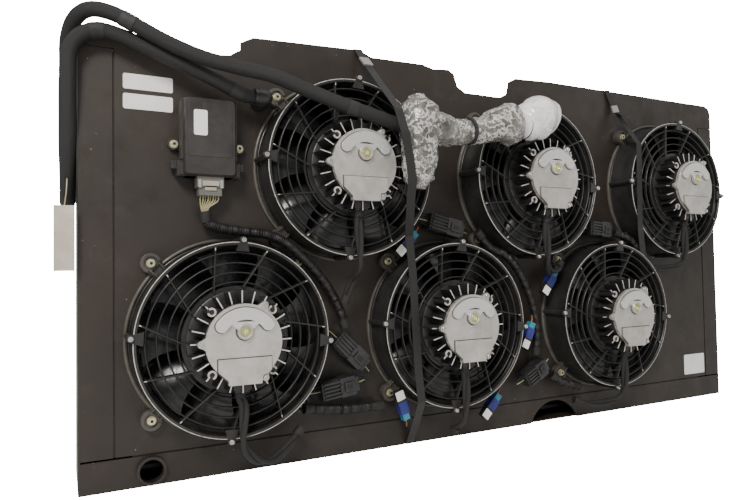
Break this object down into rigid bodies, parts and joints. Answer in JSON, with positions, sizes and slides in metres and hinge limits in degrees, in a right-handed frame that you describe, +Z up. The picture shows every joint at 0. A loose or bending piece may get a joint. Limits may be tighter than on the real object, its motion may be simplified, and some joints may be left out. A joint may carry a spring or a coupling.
{
  "type": "hydraulic oil cooler",
  "caption": "Wide upright oil cooling pack: finned core in a folded steel frame, with guarded electric axial fans in staggered rows on the front shroud.",
  "frame": {"origin": "middle of the frame's base", "axes": "+X to the right seen from the fan side, -Y towards the fan side, +Z up"},
  "size_m": [1.498, 0.3068, 0.7344],
  "materials": {
    "frame_paint": "semi-matt brown-grey powder coat, scuffed",
    "core_alloy": "dull brazed aluminium",
    "housing_plastic": "fine-grained black moulding",
    "guard_plastic": "black moulding with worn bright rim",
    "motor_black": "black coated casting with bright fin edges",
    "cast_alloy": "bare cast aluminium, satin",
    "blade_plastic": "glossy black moulding",
    "bright_steel": "bright steel",
    "winding_copper": "enamelled winding",
    "zinc_yellow": "yellow zinc plating",
    "controller_black": "satin black moulding",
    "plug_grey": "grey moulding",
    "cable_black": "black woven and ribbed sleeve",
    "connector_black": "ribbed black moulding",
    "plug_blue": "blue moulding",
    "paper_white": "blank white label stock",
    "strap_black": "woven black packing strap",
    "clear_wrap": "clear bubble wrap, silvery in folds"
  },
  "bodies": {
    "frame": {"shroud_panel": "frame_paint", "left_post": "frame_paint", "right_post": "frame_paint", "top_rail": "frame_paint", "bottom_rail": "frame_paint", "core_tubes": "core_alloy", "core_fins": "core_alloy", "header_tank_left": "core_alloy", "header_tank_right": "core_alloy", "fan_housing_1": "housing_plastic", "fan_housing_2": "housing_plastic", "fan_housing_3": "housing_plastic", "fan_housing_4": "housing_plastic", "fan_housing_5": "housing_plastic", "fan_housing_6": "housing_plastic", "fan_guard_1": "guard_plastic", "fan_guard_2": "guard_plastic", "fan_guard_3": "guard_plastic", "fan_guard_4": "guard_plastic", "fan_guard_5": "guard_plastic", "fan_guard_6": "guard_plastic", "motor_body_1": "motor_black", "motor_body_2": "motor_black", "motor_body_3": "motor_black", "motor_body_4": "motor_black", "motor_body_5": "motor_black", "motor_body_6": "motor_black", "motor_cover_1": "cast_alloy", "motor_cover_2": "cast_alloy", "motor_cover_3": "cast_alloy", "motor_cover_4": "cast_alloy", "motor_cover_5": "cast_alloy", "motor_cover_6": "cast_alloy", "motor_stators": "winding_copper", "motor_bearings": "bright_steel", "hex_bolts": "zinc_yellow", "socket_screws": "bright_steel", "controller_case": "controller_black", "controller_plug": "plug_grey", "harness_trunk": "cable_black", "fan_leads": "cable_black", "harness_connectors": "connector_black", "blue_plugs": "plug_blue", "paper_labels": "paper_white", "loom_boot": "cable_black", "main_loom": "cable_black", "packing_straps": "strap_black", "bubble_wrap": "clear_wrap"},
    "rotor_1": {"impeller_1": "blade_plastic", "rotor_shaft_1": "bright_steel"},
    "rotor_2": {"impeller_2": "blade_plastic", "rotor_shaft_2": "bright_steel"},
    "rotor_3": {"impeller_3": "blade_plastic", "rotor_shaft_3": "bright_steel"},
    "rotor_4": {"impeller_4": "blade_plastic", "rotor_shaft_4": "bright_steel"},
    "rotor_5": {"impeller_5": "blade_plastic", "rotor_shaft_5": "bright_steel"},
    "rotor_6": {"impeller_6": "blade_plastic", "rotor_shaft_6": "bright_steel"}
  },
  "joints": [
    {"name": "fan_1_spin", "type": "hinge", "parent": "frame", "child": "rotor_1", "pos_m": [-0.5115, -0.1, 0.222], "axis": [0, -1, 0], "continuous": true},
    {"name": "fan_2_spin", "type": "hinge", "parent": "frame", "child": "rotor_2", "pos_m": [-0.099, -0.1, 0.222], "axis": [0, -1, 0], "continuous": true},
    {"name": "fan_3_spin", "type": "hinge", "parent": "frame", "child": "rotor_3", "pos_m": [0.3135, -0.1, 0.222], "axis": [0, -1, 0], "continuous": true},
    {"name": "fan_4_spin", "type": "hinge", "parent": "frame", "child": "rotor_4", "pos_m": [-0.3075, -0.1, 0.5025], "axis": [0, -1, 0], "continuous": true},
    {"name": "fan_5_spin", "type": "hinge", "parent": "frame", "child": "rotor_5", "pos_m": [0.105, -0.1, 0.5025], "axis": [0, -1, 0], "continuous": true},
    {"name": "fan_6_spin", "type": "hinge", "parent": "frame", "child": "rotor_6", "pos_m": [0.5175, -0.1, 0.5025], "axis": [0, -1, 0], "continuous": true}
  ]
}
